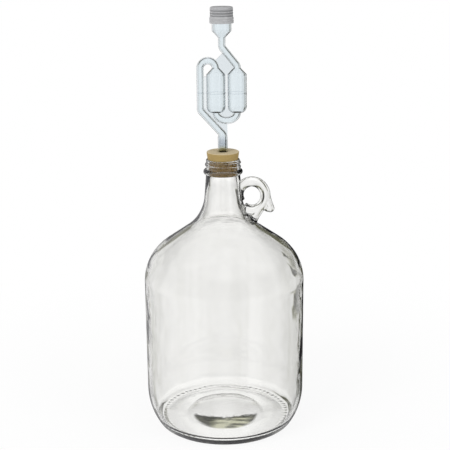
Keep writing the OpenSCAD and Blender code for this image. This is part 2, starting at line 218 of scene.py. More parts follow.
def rounded(corners, steps=6, cyclic=False):
    """Points of a profile whose corners (r, z, radius) are rounded."""
    out = []
    count = len(corners)
    for i, (x, z, radius) in enumerate(corners):
        if radius <= 0 or (not cyclic and i in (0, count - 1)):
            out.append((x, z))
            continue
        here = Vector((x, z))
        before = (Vector(corners[i - 1][:2]) - here).normalized()
        after = (Vector(corners[(i + 1) % count][:2]) - here).normalized()
        half = angle_between(before, after) / 2
        middle = here + (before + after).normalized() * radius / sin(half)
        start = here + before * radius / tan(half) - middle
        end = here + after * radius / tan(half) - middle
        first = atan2(start.y, start.x)
        sweep = atan2(start.x * end.y - start.y * end.x, start.dot(end))
        out += [spot(middle, radius, first + sweep * k / steps) for k in range(steps + 1)]
    return out


def divided(points, step):
    """The same profile with long stretches cut into shorter ones."""
    out = [points[0]]
    for a, b in zip(points, points[1:]):
        parts = max(1, int(sqrt((b[0] - a[0]) ** 2 + (b[1] - a[1]) ** 2) / step))
        out += [between(a, b, k / parts) for k in range(1, parts + 1)]
    return out


def linked(name, mesh):
    """An object of a mesh, linked to the scene."""
    piece = bpy.data.objects.new(name, mesh)
    bpy.context.scene.collection.objects.link(piece)
    return piece


def fill(mesh, bm):
    """Fills a mesh from a bmesh, with its doubles merged and its faces turned outwards."""
    bmesh.ops.remove_doubles(bm, verts=bm.verts, dist=TINY)
    bmesh.ops.recalc_face_normals(bm, faces=bm.faces)
    bm.to_mesh(mesh)
    bm.free()


def finish_mesh(name, bm):
    """A linked object made from a bmesh."""
    mesh = bpy.data.meshes.new(name)
    fill(mesh, bm)
    return linked(name, mesh)


def revolve(name, profile, segments, cyclic=False):
    """A solid of revolution from a profile of (radius, height) points."""
    bm = bmesh.new()
    turns = [2 * pi * i / segments for i in range(segments)]
    rings = []
    for r, z in profile:
        places = [(0.0, 0.0, z)] if r < TINY else [(r * cos(a), r * sin(a), z) for a in turns]
        rings.append([bm.verts.new(place) for place in places])
    pairs = list(zip(rings, rings[1:]))
    if cyclic:
        pairs.append((rings[-1], rings[0]))
    for low, high in pairs:
        if len(low) == 1 and len(high) == 1:
            continue
        for i in range(segments):
            j = (i + 1) % segments
            if len(low) == 1:
                bm.faces.new((low[0], high[i], high[j]))
            elif len(high) == 1:
                bm.faces.new((low[i], high[0], low[j]))
            else:
                bm.faces.new((low[i], high[i], high[j], low[j]))
    return finish_mesh(name, bm)


def plate(name, outline, thickness):
    """A flat plate in the plane of the airlock, from an outline of (x, z) points."""
    bm = bmesh.new()
    front = [bm.verts.new((x, -thickness / 2, z)) for x, z in outline]
    back = [bm.verts.new((x, thickness / 2, z)) for x, z in outline]
    bm.faces.new(front)
    bm.faces.new(back)
    for i in range(len(outline)):
        j = (i + 1) % len(outline)
        bm.faces.new((front[i], front[j], back[j], back[i]))
    bmesh.ops.triangulate(bm, faces=[f for f in bm.faces if len(f.verts) > 4])
    return finish_mesh(name, bm)


def baked(piece):
    """Turns what a piece's modifiers make into its plain mesh."""
    bpy.context.view_layer.update()
    shape = piece.evaluated_get(bpy.context.evaluated_depsgraph_get())
    mesh = bpy.data.meshes.new_from_object(shape)
    piece.modifiers.clear()
    old = piece.data
    piece.data = mesh
    bpy.data.meshes.remove(old)
    mesh.name = piece.name
    return piece


def combine(piece, others, operation):
    """Joins other solids to a piece, or cuts them out of it."""
    for other in others:
        cut = piece.modifiers.new(operation.title(), "BOOLEAN")
        cut.operation = operation
        cut.solver = "EXACT"
        cut.object = other
        baked(piece)
        bpy.data.objects.remove(other)


def blended(piece, voxel, rounds):
    """Rebuilds a piece as one smooth skin, so its rods flow into each other."""
    skin = piece.modifiers.new("Skin", "REMESH")
    skin.mode = "VOXEL"
    skin.voxel_size = voxel
    ease = piece.modifiers.new("Ease", "SMOOTH")
    ease.factor = 0.5
    ease.iterations = rounds
    return baked(piece)


def smooth(piece, angle):
    """Smooth shading, with an edge kept where faces meet at more than an angle."""
    piece.data.polygons.foreach_set("use_smooth", [True] * len(piece.data.polygons))
    piece.data.set_sharp_from_angle(angle=radians(angle))
    piece.data.update()


# Nodes


def add(tree, kind, inputs=None, **settings):
    """A node whose inputs are values or the sockets that feed them."""
    node = tree.nodes.new(kind)
    for key, value in settings.items():
        setattr(node, key, value)
    for key, value in (inputs or {}).items():
        if isinstance(value, bpy.types.NodeSocket):
            tree.links.new(value, node.inputs[key])
        else:
            node.inputs[key].default_value = value
    return node


def maths(tree, operation, a, b=0.0, c=0.0):
    """The result of a maths node."""
    return add(tree, "ShaderNodeMath", {0: a, 1: b, 2: c}, operation=operation).outputs[0]


def times(tree, a, b):
    """The product of two values."""
    return maths(tree, "MULTIPLY", a, b)


def rest(tree, share):
    """What a share leaves of one."""
    return maths(tree, "SUBTRACT", 1.0, share)


def ramp(tree, value, span, start=0.0, end=1.0):
    """A smooth step from one level to another while a value crosses a span."""
    step = {"Value": value, "From Min": span[0], "From Max": span[1], "To Min": start, "To Max": end}
    return add(tree, "ShaderNodeMapRange", step, interpolation_type="SMOOTHSTEP").outputs[0]


def xyz(tree, x=0.0, y=0.0, z=0.0):
    """A vector or a colour from its three parts."""
    return add(tree, "ShaderNodeCombineXYZ", {0: x, 1: y, 2: z}).outputs[0]


def split(tree, vector):
    """The three parts of a vector."""
    return add(tree, "ShaderNodeSeparateXYZ", {0: vector}).outputs


def reach_of(tree, vector):
    """How long a vector is."""
    return add(tree, "ShaderNodeVectorMath", {0: vector}, operation="LENGTH").outputs["Value"]


def new_tree(name, **sizes):
    """A geometry node tree with a named input for each size and for the material."""
    tree = bpy.data.node_groups.new(name, "GeometryNodeTree")
    sockets = tree.interface
    sockets.new_socket("Geometry", in_out="INPUT", socket_type="NodeSocketGeometry")
    for label, size in sizes.items():
        kind = "NodeSocketInt" if isinstance(size, int) else "NodeSocketFloat"
        sockets.new_socket(label, in_out="INPUT", socket_type=kind).default_value = size
    sockets.new_socket("Material", in_out="INPUT", socket_type="NodeSocketMaterial")
    sockets.new_socket("Geometry", in_out="OUTPUT", socket_type="NodeSocketGeometry")
    return tree, tree.nodes.new("NodeGroupInput").outputs


def close_tree(tree, geometry, material):
    """Ends a tree in smooth shading, real geometry and its material."""
    shaded = add(tree, "GeometryNodeSetShadeSmooth", {"Geometry": geometry})
    real = add(tree, "GeometryNodeRealizeInstances", {"Geometry": shaded.outputs[0]})
    dressed = add(tree, "GeometryNodeSetMaterial", {"Geometry": real.outputs[0], "Material": material})
    end = tree.nodes.new("NodeGroupOutput")
    tree.links.new(dressed.outputs[0], end.inputs[0])
    return tree


def run_tree(piece, tree, **values):
    """Runs a tree on a piece with its inputs set, and keeps the plain mesh."""
    modifier = piece.modifiers.new(tree.name, "NODES")
    modifier.node_group = tree
    for item in tree.interface.items_tree:
        if item.in_out == "INPUT" and item.name in values:
            modifier[item.identifier] = values[item.name]
    return baked(piece)


def path_object(name, stations):
    """A line through (x, y, z, radius) stations, for the trees that sweep along it."""
    mesh = bpy.data.meshes.new(name)
    mesh.from_pydata([s[:3] for s in stations], [(i, i + 1) for i in range(len(stations) - 1)], [])
    girth = mesh.attributes.new("girth", "FLOAT", "POINT")
    girth.data.foreach_set("value", [s[3] for s in stations])
    return linked(name, mesh)


def grown(name, tree, **values):
    """A piece that a tree makes from its inputs alone."""
    seed = path_object(name, [(0, 0, 0, 1), (0, 0, 1, 1)])
    return run_tree(seed, tree, **values)


def swept(tree, line, girth, sides):
    """A closed round skin along a curve."""
    ring = add(tree, "GeometryNodeCurvePrimitiveCircle", {"Resolution": sides, "Radius": 1.0}, mode="RADIUS")
    skin = {"Curve": line, "Profile Curve": ring.outputs[0], "Scale": girth, "Fill Caps": True}
    return add(tree, "GeometryNodeCurveToMesh", skin).outputs[0]


def swept_rod_tree():
    """A round rod along a line, as thick as the line's girth says."""
    tree, given = new_tree("Swept rod", Sides=32, Inset=0.0)
    line = add(tree, "GeometryNodeMeshToCurve", {"Mesh": given["Geometry"]}).outputs[0]
    flat = add(tree, "GeometryNodeSetCurveNormal", {"Curve": line}, mode="MINIMUM_TWIST").outputs[0]
    girth = add(tree, "GeometryNodeInputNamedAttribute", {"Name": "girth"}, data_type="FLOAT")
    radius = maths(tree, "SUBTRACT", girth.outputs["Attribute"], given["Inset"])
    return close_tree(tree, swept(tree, flat, radius, given["Sides"]), given["Material"])


def thread_tree():
    """A screw thread: a rounded ridge that climbs round the finish and fades at both ends."""
    tree, given = new_tree(
        "Screw thread", Turns=1.3, Pitch=0.004, Radius=0.017, Height=0.001, Foot=0.28, Start=0.0
    )
    coil = {
        "Resolution": 120,
        "Rotations": given["Turns"],
        "Start Radius": given["Radius"],
        "End Radius": given["Radius"],
        "Height": times(tree, given["Turns"], given["Pitch"]),
    }
    line = add(tree, "GeometryNodeCurveSpiral", coil).outputs[0]
    along = add(tree, "GeometryNodeSplineParameter").outputs["Factor"]
    to_end = maths(tree, "MINIMUM", along, rest(tree, along))
    fade = ramp(tree, to_end, (0.0, 0.07), 0.35, 1.0)
    ridge = swept(tree, line, times(tree, fade, given["Height"]), 14)
    place = {
        "Geometry": ridge,
        "Translation": xyz(tree, z=given["Foot"]),
        "Rotation": xyz(tree, z=given["Start"]),
    }
    moved = add(tree, "GeometryNodeTransform", place)
    return close_tree(tree, moved.outputs[0], given["Material"])


def ridge_tree():
    """Short ridges round the bearing ring, raised and lowered round the axis."""
    tree, given = new_tree("Bearing ridges", Count=132, Height=0.0005, Inner=0.063, Outer=0.070)
    x, y, z = split(tree, add(tree, "GeometryNodeInputPosition").outputs[0])
    radius = reach_of(tree, xyz(tree, x, y))
    middle = times(tree, maths(tree, "ADD", given["Inner"], given["Outer"]), 0.5)
    half = times(tree, maths(tree, "SUBTRACT", given["Outer"], given["Inner"]), 0.5)
    away = maths(tree, "ABSOLUTE", maths(tree, "SUBTRACT", radius, middle))
    off = maths(tree, "DIVIDE", away, half)
    near = rest(tree, maths(tree, "MINIMUM", times(tree, off, off), 1.0))
    under = maths(tree, "LESS_THAN", z, 0.002)
    wave = maths(tree, "COSINE", times(tree, maths(tree, "ARCTAN2", y, x), given["Count"]))
    rise = times(tree, maths(tree, "MULTIPLY_ADD", wave, -0.5, 0.5), given["Height"])
    lift = xyz(tree, z=times(tree, times(tree, rise, near), under))
    moved = add(tree, "GeometryNodeSetPosition", {"Geometry": given["Geometry"], "Offset": lift})
    return close_tree(tree, moved.outputs[0], given["Material"])


def vent_tree():
    """Pins for the vent holes, spaced round a ring."""
    tree, given = new_tree("Vent pins", Count=4, Ring=0.005, Radius=0.0008, Height=0.44, Depth=0.006)
    circle = {"Resolution": given["Count"], "Radius": given["Ring"]}
    ring = add(tree, "GeometryNodeCurvePrimitiveCircle", circle, mode="RADIUS").outputs[0]
    rod = {"Vertices": 24, "Radius": given["Radius"], "Depth": given["Depth"]}
    pin = add(tree, "GeometryNodeMeshCylinder", rod).outputs[0]
    pins = add(tree, "GeometryNodeInstanceOnPoints", {"Points": ring, "Instance": pin}).outputs[0]
    place = {
        "Geometry": pins,
        "Translation": xyz(tree, z=given["Height"]),
        "Rotation": (0.0, 0.0, pi / 4),
    }
    moved = add(tree, "GeometryNodeTransform", place)
    return close_tree(tree, moved.outputs[0], given["Material"])


# Materials


def new_material(name, **constants):
    """A material with a Principled shader and constants set on its own sockets."""
    material = bpy.data.materials.new(name)
    material.use_nodes = True
    tree = material.node_tree
    shader = tree.nodes["Principled BSDF"]
    for key, value in constants.items():
        shader.inputs[key.replace("_", " ")].default_value = value
    return material, tree, shader


def opaque(rgb):
    """A plain colour with nothing seen through it."""
    return (rgb[0], rgb[1], rgb[2], 1.0)


def mixed(tree, share, first, second):
    """A colour between two others, each a plain colour or a socket."""
    pair = [one if isinstance(one, bpy.types.NodeSocket) else opaque(one) for one in (first, second)]
    inputs = {"Factor": share, "A": pair[0], "B": pair[1]}
    return add(tree, "ShaderNodeMix", inputs, data_type="RGBA").outputs["Result"]


def noise(tree, place, scale, detail, roughness=0.5):
    """Cloudy noise between 0 and 1."""
    inputs = {"Vector": place, "Scale": scale, "Detail": detail, "Roughness": roughness}
    return add(tree, "ShaderNodeTexNoise", inputs).outputs[0]


def own_place(tree):
    """Where a point lies on its piece."""
    return add(tree, "ShaderNodeTexCoord").outputs["Object"]


def facing(tree):
    """How far a surface is turned away from the eye."""
    return add(tree, "ShaderNodeLayerWeight", {"Blend": 0.5}).outputs["Facing"]


def absorb(tree, rgb, density):
    """Tint that grows with the thickness of a clear solid."""
    volume = add(tree, "ShaderNodeVolumeAbsorption", {"Color": opaque(rgb), "Density": density})
    tree.links.new(volume.outputs[0], tree.nodes["Material Output"].inputs["Volume"])


def ripples(tree, shader, place, scale, distance, detail):
    """Soft unevenness of a surface. Returns the noise that it comes from."""
    height = noise(tree, place, scale, detail)
    bump = add(tree, "ShaderNodeBump", {"Height": height, "Strength": 1.0, "Distance": distance})
    tree.links.new(bump.outputs[0], shader.inputs["Normal"])
    return height


def jug_glass_material(s):
    """Clear uneven glass, greyer along its surface, partly from the longer path through the glass and partly
    from painted shade, and nearly black in its outlines from painted shade.
    """
    material, tree, shader = new_material("Jug glass", Roughness=0.0, IOR=1.52, Transmission_Weight=1.0)
    place = own_place(tree)
    ripples(tree, shader, place, 20.0, 0.0010, 2.0)
    height = split(tree, place)[2]
    turn = facing(tree)
    # Along its surface the glass turns greyer, partly from its longer path through the glass and partly as
    # painted shade
    tone = mixed(tree, ramp(tree, turn, (0.80, 1.0)), s.glass, s.edge)
    # Painted shade: the outlines of the heel, and of the small forms at the neck, are made nearly black,
    # standing in for the dark surroundings that they would show
    heel_heights = (0.030, 0.070)
    heel_reach = (0.064, 0.069)
    neck_heights = (0.205, 0.225)
    low = ramp(tree, height, heel_heights, 1.0, 0.0)
    far = ramp(tree, reach_of(tree, place), heel_reach)
    heel = times(tree, times(tree, low, far), ramp(tree, turn, (0.66, 0.92)))
    neck = times(tree, ramp(tree, height, neck_heights, 0.0, 0.9), ramp(tree, turn, (0.40, 0.85)))
    tone = mixed(tree, maths(tree, "MAXIMUM", heel, neck), tone, s.outline)
    tree.links.new(tone, shader.inputs["Base Color"])
    absorb(tree, s.depth_tint, 9.0)
    return material


def gum_rubber_material(s):
    """Matt tan rubber with blotches and specks, darker at the side below the top face and darker, more orange
    inside the neck.
    """
    material, tree, shader = new_material("Gum rubber", Roughness=0.62, IOR=1.35)
    place = own_place(tree)
    grain = ripples(tree, shader, place, 900.0, 0.00012, 5.0)
    tone = mixed(tree, noise(tree, place, 130.0, 4.0), s.rubber, [c * 0.88 for c in s.rubber])
    height = split(tree, place)[2]
    top = STOPPER_BOX[1].z
    # Below the top face the rubber is darker, and darker and more orange again inside the neck
    for tint, span in ((s.side, (top - 0.0010, top - 0.0001)), (s.deeper, (top - 0.0120, top - 0.0075))):
        tone = mixed(tree, ramp(tree, height, span, 1.0, 0.0), tone, tint)
    fleck = add(tree, "ShaderNodeTexVoronoi", {"Vector": place, "Scale": 620.0}).outputs["Distance"]
    fade = {"Value": fleck, "From Min": 0.10, "From Max": 0.26, "To Min": 0.55, "To Max": 0.0}
    tone = mixed(tree, add(tree, "ShaderNodeMapRange", fade).outputs[0], tone, s.speck)
    tree.links.new(tone, shader.inputs["Base Color"])
    shine = add(tree, "ShaderNodeMapRange", {"Value": grain, "To Min": 0.52, "To Max": 0.74})
    tree.links.new(shine.outputs[0], shader.inputs["Roughness"])
    return material


def airlock_plastic_material(s):
    """Clear plastic, tinted in the stem, the fill line and the webs, with a painted reflection of the rubber
    on the stem's foot and painted shade in its outlines.
    """
    material, tree, shader = new_material("Airlock plastic", Roughness=0.0, IOR=1.42, Transmission_Weight=1.0)
    place = own_place(tree)
    ripples(tree, shader, place, 30.0, 0.0001, 0.0)
    height = split(tree, place)[2]
    low = AIRLOCK_BOX[0].z
    stem = ramp(tree, height, (low + 0.030, low + 0.040), 1.0, 0.0)
    # Painted reflection: the stem's foot is tinted olive, standing in for the rubber seen through it
    foot = ramp(tree, height, (low + 0.022, low + 0.029), 1.0, 0.0)
    # The webs lie in the middle plane, and are nearly clear between the bulbs
    across = maths(tree, "ABSOLUTE", split(tree, place)[1])
    bulbs_on = ramp(tree, height, (low + 0.064, low + 0.068), 0.0, 0.85)
    bulbs_off = ramp(tree, height, (low + 0.0990, low + 0.1025), 1.0, 0.0)
    in_plane = ramp(tree, across, (s.web / 2, s.web / 2 + 0.0001), 1.0, 0.0)
    web = times(tree, in_plane, rest(tree, times(tree, bulbs_on, bulbs_off)))
    off_line = maths(tree, "ABSOLUTE", maths(tree, "SUBTRACT", height, low + 0.082))
    line = ramp(tree, off_line, (0.0002, 0.0005), 0.7, 0.0)
    face = mixed(tree, stem, s.plastic, s.stem)
    for share, tint in ((foot, s.foot), (line, s.stem), (web, s.sheet)):
        face = mixed(tree, share, face, tint)
    # Painted shade darkens the plastic along its outlines, standing in for dark surroundings seen through it
    tone = mixed(tree, ramp(tree, facing(tree), (0.56, 0.90)), face, s.edge)
    tree.links.new(tone, shader.inputs["Base Color"])
    absorb(tree, s.depth_tint, 10.0)
    return material


def cap_plastic_material(s):
    """Milky grey plastic, made paler by painted light in the band, the grooves and the top."""
    material, tree, shader = new_material(
        "Cap plastic",
        Roughness=0.34,
        IOR=1.49,
        Transmission_Weight=0.15,
        Subsurface_Weight=0.12,
        Subsurface_Radius=(0.002, 0.002, 0.002),
    )
    place = own_place(tree)
    ripples(tree, shader, place, 420.0, 0.00006, 3.0)
    height = split(tree, place)[2]
    low = CAP_BOX[0].z
    cloud = noise(tree, place, 160.0, 3.0)
    tone = mixed(tree, cloud, [c * 0.88 for c in s.plastic], [c * 1.12 for c in s.plastic])
    # Painted light: the band, the grooves and the top are made paler, standing in for light through the band
    # from the cup behind, light lines along the grooves and light falling on the top
    band_end = (low + s.band_height - 0.0006, low + s.band_height + 0.0004)
    band = ramp(tree, height, band_end, 1.0, 0.0)
    step = maths(tree, "PINGPONG", maths(tree, "SUBTRACT", height, low + FIRST_GROOVE), GROOVE_SPACING / 2)
    below_top = ramp(tree, height, (low + 0.0128, low + 0.0132), 1.0, 0.0)
    groove = times(tree, ramp(tree, step, (0.00025, 0.0006), 1.0, 0.0), below_top)
    top = ramp(tree, height, (low + 0.0128, low + 0.0136), 0.0, 0.62)
    painted_light = maths(tree, "MAXIMUM", times(tree, band, 0.68), times(tree, groove, 0.95))
    pale = mixed(tree, maths(tree, "MAXIMUM", painted_light, top), tone, s.painted_light)
    tree.links.new(pale, shader.inputs["Base Color"])
    return material


def place_piece(piece, material, body, node):
    """Gives a finished piece its material in a material slot, hangs it on its body and hides the CAD node
    that it replaces.
    """
    piece.data.materials.clear()
    piece.data.materials.append(material)
    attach(piece, body)
    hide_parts(node)


# Jug


class JugShape:
    """The curves of the jug's outside and inside, worked out from its settings."""

    slope = 35.0  # rise of the line between the shoulder's two curves, in degrees
    taper = 4.6  # how far the neck's side leans from upright, in degrees
    push_up = 0.012  # height of the dome under the base
    dome_radius = 0.09339
    dome_end = 64.64  # where the dome meets the bearing ring, in degrees
    floor_end = 65.2  # where the floor inside meets its corner, in degrees
    base_wall = 0.004
    bearing = 0.005  # width of the bearing ring
    bearing_rise = 0.0002  # how far its inner edge stands off the table
    ridge_past = 0.003  # how far the ridges run on past the bearing ring
    heel_radius = 0.065
    heel_height = 0.038  # where the heel's curve meets the straight side
    heel_end = 32.85  # where it meets the corner at the base, in degrees
    corner_radius = 0.006
    inner_corner = 0.010
    inner_middle = 0.017  # height of the middle of the inner corner
    bead_radius = 0.0027
    bead_rise = 0.0029  # from the top of the neck to the middle of the bead
    bead_stand = 0.0029  # how far the bead stands out from the finish
    bead_foot = 0.0033  # where the neck ends, below the middle of the bead
    bead_top = 0.0034  # where the finish starts, above it
    finish_wall = 0.0024
    lip_radius = 0.0011
    mouth_depth = 0.006  # how far down the mouth opens out
    mouth_flare = 0.00082
    past_lip = 0.002  # how far the hollow runs on above the lip
    thread_drop = 0.0082  # where the thread starts, below the lip
    thread_turned = 40  # where it starts round the axis, in degrees
    loop_out = 0.0101  # from the foot of the neck to the middle of the loop
    loop_drop = 0.0005
    loop_rise = 0.0152  # half the height of the loop's middle line

    def __init__(self, s):
        self.s = s
        lean = radians(self.slope)
        self.neck_r = s.mouth_radius + s.neck_wall
        foot_r = self.neck_r + s.neck_length * tan(radians(self.taper))
        self.shoulder = (s.side_radius - s.shoulder_radius, s.side_height)
        fillet_x = foot_r + s.fillet_radius * cos(radians(self.taper))
        arms = s.shoulder_radius + s.fillet_radius
        run = (self.shoulder[0] + arms * sin(lean) - fillet_x) / cos(lean)
        self.fillet = (fillet_x, s.side_height + arms * cos(lean) + run * sin(lean))
        neck_foot = self.fillet[1] - s.fillet_radius * sin(radians(self.taper))
        self.bead_z = neck_foot + s.neck_length + self.bead_rise
        self.lip_z = self.bead_z + s.finish_height
        self.finish_r = s.mouth_radius + self.finish_wall
        self.bead_r = self.finish_r + self.bead_stand
        self.heel = (s.side_radius - self.heel_radius, self.heel_height)
        corner_out = (self.heel_radius - self.corner_radius) * cos(radians(self.heel_end))
        self.corner = (self.heel[0] + corner_out, self.corner_radius)
        self.loop = (foot_r + self.loop_out, neck_foot - self.loop_drop)

    def side(self, radius):
        """The straight side at a radius, from the heel to the shoulder."""
        return divided([(radius, self.heel_height), (radius, self.s.side_height)], 0.012)

    def outside(self):
        """The outside from the middle of the base to the middle of the mouth."""
        s = self.s
        dome = arc((0, self.push_up - self.dome_radius), self.dome_radius, 90, self.dome_end, 12)
        ring_in = (self.corner[0] - self.bearing, self.bearing_rise)
        base = divided([dome[-1], ring_in, (self.corner[0], 0.0)], 0.0012)
        lip = (self.finish_r - self.lip_radius, self.lip_z - self.lip_radius)
        return (
            [(0.0, self.push_up)] + dome[1:] + base[1:]
            + arc(self.corner, self.corner_radius, -90, -self.heel_end, 8)[1:]
            + arc(self.heel, self.heel_radius, -self.heel_end, 0, 14)[1:]
            + self.side(s.side_radius)[1:]
            + arc(self.shoulder, s.shoulder_radius, 0, 90 - self.slope, 26)[1:]
            + arc(self.fillet, s.fillet_radius, 270 - self.slope, 180 + self.taper, 22)
            + [(self.neck_r, self.bead_z - self.bead_foot)]
            + arc((self.bead_r - self.bead_radius, self.bead_z), self.bead_radius, -100, 100, 16)
            + [(self.finish_r, self.bead_z + self.bead_top)]
            + arc(lip, self.lip_radius, 0, 90, 6)
            + [(0.0, self.lip_z)]
        )

    def thick_arc(self, centre, radius, start, end, steps, extra, reach):
        """An arc that leaves its radius by an extra amount within a share of its length."""
        points = []
        for i, point in enumerate(arc(centre, radius, start, end, steps)):
            t = min(1.0, i / steps / reach)
            points.append(between(centre, point, 1 + extra / radius * t * t * (3 - 2 * t)))
        return points

    def inside(self):
        """The inside from the middle of the floor to past the lip."""
        s = self.s
        wall = s.side_wall
        floor_radius = self.dome_radius + self.base_wall
        floor = arc((0, self.push_up - self.dome_radius), floor_radius, 90, self.floor_end, 12)
        reach = self.heel_radius - self.inner_corner - wall
        turn = degrees(asin((self.heel_height - self.inner_middle) / reach))
        inner = (self.heel[0] + reach * cos(radians(turn)), self.inner_middle)
        shoulder = (self.shoulder, s.shoulder_radius - wall, 0, 90 - self.slope, 26)
        fillet = (self.fillet, s.fillet_radius + s.neck_wall, 180 + self.taper, 270 - self.slope, 22)
        flared = s.mouth_radius + self.mouth_flare
        top = self.lip_z + self.past_lip
        return (
            [(0.0, self.push_up + self.base_wall)] + floor[1:]
            + arc(inner, self.inner_corner, -90, -turn, 8)
            + arc(self.heel, self.heel_radius - wall, -turn, 0, 14)[1:]
            + self.side(s.side_radius - wall)[1:]
            + self.thick_arc(*shoulder, -s.shoulder_extra, 0.35)[1:]
            + self.thick_arc(*fillet, s.shoulder_extra, 0.9)[::-1]
            + [(s.mouth_radius, self.bead_z), (s.mouth_radius, self.lip_z - self.mouth_depth)]
            + [(flared, self.lip_z + 0.00001), (flared, top), (0.0, top)]
        )

    def ring(self):
        """The ring of the loop, thicker where it leaves the neck and at its end."""
        steps = 80
        line = arc(self.loop, self.s.loop_radius, 200, -128, steps, self.loop_rise)
        stations = []
        for i, (x, z) in enumerate(line):
            t = i / steps
            flare = 1 + 0.25 * max(0.0, 1 - t / 0.16) ** 2 + 0.10 * max(0.0, (t - 0.80) / 0.20) ** 2
            stations.append((x, 0.0, z, self.s.rod_radius * flare))
        return stations

    def tail(self):
        """The hook tail, which runs down and out from the loop's side and tapers."""
        x, z = self.loop[0] + 0.0138, self.loop[1] + 0.0045
        lean, hook, fall = 0.0022, 0.0032, 0.0180
        start, end = self.s.rod_radius * 0.98, 0.0045
        steps = 20
        stations = []
        for i in range(steps + 1):
            t = i / steps
            stations.append((x + lean * t + hook * t * t, 0.0, z - fall * t, start - (start - end) * t))
        return stations

    def strut(self):
        """The strut from the loop's foot to the shoulder, thicker where it meets the glass."""
        root = (self.loop[0] + 0.0085, self.loop[1] - 0.0122)
        foot = spot(self.fillet, -(self.s.fillet_radius + 0.001), radians(41))
        steps = 20
        stations = []
        for i in range(steps + 1):
            t = i / steps
            flare = 0.98 + 0.20 * max(0.0, (t - 0.6) / 0.4) ** 2
            x, z = between(root, foot, t)
            stations.append((x, 0.0, z, self.s.rod_radius * flare))
        return stations

    def finger_loop(self, material):
        """The finger loop: a ring, its hook tail and the strut back to the shoulder."""
        cx, cz = self.loop
        tail = self.tail()
        tree = swept_rod_tree()
        bm = bmesh.new()
        for i, line in enumerate((self.ring(), tail, self.strut())):
            rod = run_tree(path_object("rod_%d" % i, line), tree, Sides=28, Material=material)
            bm.from_mesh(rod.data)
            bpy.data.objects.remove(rod)
        # The tail ends in a ball, and two more fill its root
        fills = ((cx + 0.0132, 0.0, cz - 0.0113, 0.0046), (cx + 0.0166, 0.0, cz - 0.0128, 0.0046))
        for ball in (tail[-1], *fills):
            centre = Matrix.Translation(ball[:3])
            bmesh.ops.create_icosphere(bm, subdivisions=3, radius=ball[3], matrix=centre)
        return blended(finish_mesh("finger_loop", bm), 0.00050, 16)


class FERMENTER_OT_glass_jug(Operator):
    """Build the glass jug with its screw finish, bead, finger loop and pushed-up base"""

    bl_idname = "fermenter.glass_jug"
    bl_label = "Glass jug"

    def execute(self, context):
        s = context.scene.jug_settings
        shape = JugShape(s)
        material = jug_glass_material(s)
        facets = 264
        jug = revolve("glass_jug_body", shape.outside(), facets)
        run_tree(
            jug,
            ridge_tree(),
            Count=s.ridges,
            Height=s.ridge_height,
            Inner=shape.corner[0] - shape.bearing,
            Outer=shape.corner[0] + shape.ridge_past,
            Material=material,
        )
        thread = grown(
            "thread",
            thread_tree(),
            Turns=s.thread_turns,
            Pitch=s.thread_pitch,
            Radius=shape.finish_r,
            Height=s.thread_height,
            Foot=shape.lip_z - shape.thread_drop,
            Start=radians(shape.thread_turned),
            Material=material,
        )
        loop = shape.finger_loop(material)
        hollow = revolve("jug_hollow", shape.inside(), facets)
        combine(jug, [thread, loop], "UNION")
        combine(jug, [hollow], "DIFFERENCE")
        smooth(jug, 50)
        place_piece(jug, material, "jug", "glass_jug")
        return {"FINISHED"}


# Stopper


class FERMENTER_OT_rubber_stopper(Operator):
    """Build the tapered gum rubber stopper with its bore"""

    bl_idname = "fermenter.rubber_stopper"
    bl_label = "Rubber stopper"

    def execute(self, context):
        s = context.scene.stopper_settings
        low, high = STOPPER_BOX[0].z, STOPPER_BOX[1].z
        dip, dip_width = 0.0003, 0.0018  # the top dips a little round the bore
        corners = [
            (s.bore_radius, low, 0.0002),
            (s.foot_radius, low, s.edge_radius),
            (s.top_radius, high, s.edge_radius),
            (s.bore_radius + dip_width, high, 0.0006),
            (s.bore_radius, high - dip, 0.0002),
        ]
        profile = rounded(corners, steps=8, cyclic=True)
        stopper = revolve("rubber_stopper_body", profile, 128, cyclic=True)
        smooth(stopper, 50)
        place_piece(stopper, gum_rubber_material(s), "stopper", "rubber_stopper")
        return {"FINISHED"}


# Airlock


